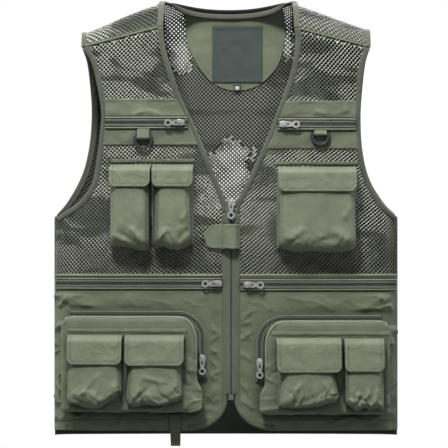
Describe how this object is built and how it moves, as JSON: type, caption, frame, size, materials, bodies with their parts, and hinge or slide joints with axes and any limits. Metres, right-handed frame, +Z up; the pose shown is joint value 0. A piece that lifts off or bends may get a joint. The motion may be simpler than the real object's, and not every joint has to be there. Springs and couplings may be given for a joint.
{
  "type": "fishing vest",
  "caption": "Sleeveless V-neck mesh vest with woven lower panels, flapped bellows pouches, zipped pockets, chest D-rings and a separating front zip under a closing tab.",
  "frame": {"origin": "The middle of the hanger seat: on the centre plane, midway between front and back, level with the top of the shoulders at the neck.", "axes": "+Z up the vest, +X towards the wearer's left side, -Y out of the front."},
  "size_m": [0.549, 0.1658, 0.7044],
  "materials": {
    "mesh": "matte",
    "woven": "matte",
    "pocket": "matte",
    "binding": "matte",
    "label": "matte",
    "webbing": "matte",
    "zip_tape": "matte",
    "hook_loop": "matte",
    "zip_metal": "satin",
    "ring_plastic": "satin",
    "box_plastic": "satin"
  },
  "bodies": {
    "back": {"back_mesh_panel": "mesh", "back_lower_panel": "woven", "back_neck_facing": "woven", "neck_label": "label", "size_tab": "label", "back_neck_binding": "binding", "armhole_bindings_back": "binding", "shoulder_yokes": "mesh"},
    "front_left": {"front_mesh_left": "mesh", "front_lower_panel_left": "woven", "front_edge_binding_left": "binding", "armhole_binding_front_left": "binding", "chest_band_left": "woven", "pocket_zips_left": "zip_tape", "pocket_bags_left": "woven", "chest_pouch_left": "pocket", "cargo_pocket_left": "pocket", "cargo_pouches_left": "pocket", "d_ring_loop_left": "webbing", "main_zip_half_left": "zip_tape", "loop_pads_left": "hook_loop"},
    "front_right": {"front_mesh_right": "mesh", "front_lower_panel_right": "woven", "front_edge_binding_right": "binding", "armhole_binding_front_right": "binding", "chest_band_right": "woven", "pocket_zips_right": "zip_tape", "pocket_bags_right": "woven", "chest_pouches_right": "pocket", "cargo_pocket_right": "pocket", "cargo_pouches_right": "pocket", "d_ring_loop_right": "webbing", "main_zip_half_right": "zip_tape", "loop_pads_right": "hook_loop", "main_zip_box": "box_plastic"},
    "main_slider": {"main_slider": "zip_metal"},
    "main_pull": {"main_pull": "zip_metal"},
    "closing_tab": {"closing_tab": "pocket"},
    "hem_strap": {"hem_strap": "webbing"},
    "chest_slider_left": {"chest_slider_left": "zip_metal"},
    "chest_pull_left": {"chest_pull_left": "zip_metal"},
    "waist_slider_left": {"waist_slider_left": "zip_metal"},
    "waist_pull_left": {"waist_pull_left": "zip_metal"},
    "cargo_slider_left": {"cargo_slider_left": "zip_metal"},
    "cargo_pull_left": {"cargo_pull_left": "zip_metal"},
    "d_ring_left": {"d_ring_left": "ring_plastic"},
    "chest_slider_right": {"chest_slider_right": "zip_metal"},
    "chest_pull_right": {"chest_pull_right": "zip_metal"},
    "waist_slider_right": {"waist_slider_right": "zip_metal"},
    "waist_pull_right": {"waist_pull_right": "zip_metal"},
    "cargo_slider_right": {"cargo_slider_right": "zip_metal"},
    "cargo_pull_right": {"cargo_pull_right": "zip_metal"},
    "d_ring_right": {"d_ring_right": "ring_plastic"},
    "chest_flap_right_outer": {"chest_flap_right_outer": "pocket"},
    "chest_flap_right_inner": {"chest_flap_right_inner": "pocket"},
    "chest_flap_left": {"chest_flap_left": "pocket"},
    "cargo_flap_right_outer": {"cargo_flap_right_outer": "pocket"},
    "cargo_flap_right_inner": {"cargo_flap_right_inner": "pocket"},
    "cargo_flap_left_inner": {"cargo_flap_left_inner": "pocket"},
    "cargo_flap_left_outer": {"cargo_flap_left_outer": "pocket"}
  },
  "joints": [
    {"name": "front_left_swing", "type": "hinge", "parent": "back", "child": "front_left", "pos_m": [0.2731, 0, -0.4], "axis": [0, 0, 1], "range_deg": [0, 45]},
    {"name": "front_right_swing", "type": "hinge", "parent": "back", "child": "front_right", "pos_m": [-0.2731, 0, -0.4], "axis": [0, 0, -1], "range_deg": [0, 45]},
    {"name": "main_slider_run", "type": "slide", "parent": "front_right", "child": "main_slider", "axis": [0, 0, 1], "range_m": [-0.29, 0]},
    {"name": "main_pull_lift", "type": "hinge", "parent": "main_slider", "child": "main_pull", "pos_m": [0.00804, -0.06732, -0.318], "axis": [-1, -0.0058, 0], "range_deg": [0, 150]},
    {"name": "chest_slider_left_run", "type": "hinge", "parent": "front_left", "child": "chest_slider_left", "pos_m": [0, 1.31857, -0.1925], "axis": [0, 0, 1], "range_deg": [0, 3.95]},
    {"name": "chest_pull_left_lift", "type": "hinge", "parent": "chest_slider_left", "child": "chest_pull_left", "pos_m": [0.09214, -0.06688, -0.1925], "axis": [0, 0, -1], "range_deg": [0, 150]},
    {"name": "waist_slider_left_run", "type": "hinge", "parent": "front_left", "child": "waist_slider_left", "pos_m": [0, 1.31857, -0.448], "axis": [0, 0, 1], "range_deg": [0, 7.89]},
    {"name": "waist_pull_left_lift", "type": "hinge", "parent": "waist_slider_left", "child": "waist_pull_left", "pos_m": [0.03521, -0.06829, -0.448], "axis": [0, 0, -1], "range_deg": [0, 150]},
    {"name": "cargo_slider_left_run", "type": "slide", "parent": "front_left", "child": "cargo_slider_left", "axis": [0, 0, 1], "range_m": [0, 0.024]},
    {"name": "cargo_pull_left_lift", "type": "hinge", "parent": "cargo_slider_left", "child": "cargo_pull_left", "pos_m": [0.05383, -0.0677, -0.572], "axis": [-0.9992, -0.0388, 0], "range_deg": [0, 150]},
    {"name": "d_ring_left_swing", "type": "hinge", "parent": "front_left", "child": "d_ring_left", "pos_m": [0.15016, -0.05828, -0.2082], "axis": [-0.9941, -0.1084, 0], "range_deg": [0, 120]},
    {"name": "chest_slider_right_run", "type": "hinge", "parent": "front_right", "child": "chest_slider_right", "pos_m": [0, 1.31857, -0.19], "axis": [0, 0, -1], "range_deg": [0, 4.44]},
    {"name": "chest_pull_right_lift", "type": "hinge", "parent": "chest_slider_right", "child": "chest_pull_right", "pos_m": [-0.07301, -0.06802, -0.19], "axis": [0, 0, 1], "range_deg": [0, 150]},
    {"name": "waist_slider_right_run", "type": "hinge", "parent": "front_right", "child": "waist_slider_right", "pos_m": [0, 1.31857, -0.446], "axis": [0, 0, -1], "range_deg": [0, 8.79]},
    {"name": "waist_pull_right_lift", "type": "hinge", "parent": "waist_slider_right", "child": "waist_pull_right", "pos_m": [-0.01358, -0.06867, -0.446], "axis": [0, 0, 1], "range_deg": [0, 150]},
    {"name": "cargo_slider_right_run", "type": "slide", "parent": "front_right", "child": "cargo_slider_right", "axis": [0, 0, 1], "range_m": [0, 0.024]},
    {"name": "cargo_pull_right_lift", "type": "hinge", "parent": "cargo_slider_right", "child": "cargo_pull_right", "pos_m": [-0.03773, -0.06823, -0.566], "axis": [-0.9996, 0.0272, 0], "range_deg": [0, 150]},
    {"name": "d_ring_right_swing", "type": "hinge", "parent": "front_right", "child": "d_ring_right", "pos_m": [-0.13158, -0.06018, -0.214], "axis": [-0.9955, 0.095, 0], "range_deg": [0, 120]},
    {"name": "chest_flap_right_outer_lift", "type": "hinge", "parent": "front_right", "child": "chest_flap_right_outer", "pos_m": [-0.15166, -0.05529, -0.2573], "axis": [-0.994, 0.1097, 0], "range_deg": [0, 110]},
    {"name": "chest_flap_right_inner_lift", "type": "hinge", "parent": "front_right", "child": "chest_flap_right_inner", "pos_m": [-0.0844, -0.06106, -0.2573], "axis": [-0.9981, 0.0611, 0], "range_deg": [0, 110]},
    {"name": "chest_flap_left_lift", "type": "hinge", "parent": "front_left", "child": "chest_flap_left", "pos_m": [0.14384, -0.05614, -0.2608], "axis": [-0.9946, -0.1041, 0], "range_deg": [0, 110]},
    {"name": "cargo_flap_right_outer_lift", "type": "hinge", "parent": "front_right", "child": "cargo_flap_right_outer", "pos_m": [-0.20781, -0.07125, -0.528], "axis": [-0.9938, 0.1113, 0], "range_deg": [0, 118]},
    {"name": "cargo_flap_right_inner_lift", "type": "hinge", "parent": "front_right", "child": "cargo_flap_right_inner", "pos_m": [-0.11271, -0.0819, -0.528], "axis": [-0.9938, 0.1113, 0], "range_deg": [0, 118]},
    {"name": "cargo_flap_left_inner_lift", "type": "hinge", "parent": "front_left", "child": "cargo_flap_left_inner", "pos_m": [0.13072, -0.08004, -0.5325], "axis": [-0.9932, -0.1168, 0], "range_deg": [0, 118]},
    {"name": "cargo_flap_left_outer_lift", "type": "hinge", "parent": "front_left", "child": "cargo_flap_left_outer", "pos_m": [0.21872, -0.0697, -0.5335], "axis": [-0.9932, -0.1168, 0], "range_deg": [0, 118]},
    {"name": "closing_tab_swing", "type": "hinge", "parent": "front_left", "child": "closing_tab", "pos_m": [0.0215, -0.06334, -0.372], "axis": [0, 0, 1], "range_deg": [0, 115]},
    {"name": "hem_strap_swing", "type": "hinge", "parent": "front_right", "child": "hem_strap", "pos_m": [-0.08117, -0.06085, -0.652], "axis": [-0.9983, 0.0587, 0], "range_deg": [0, 90]}
  ]
}
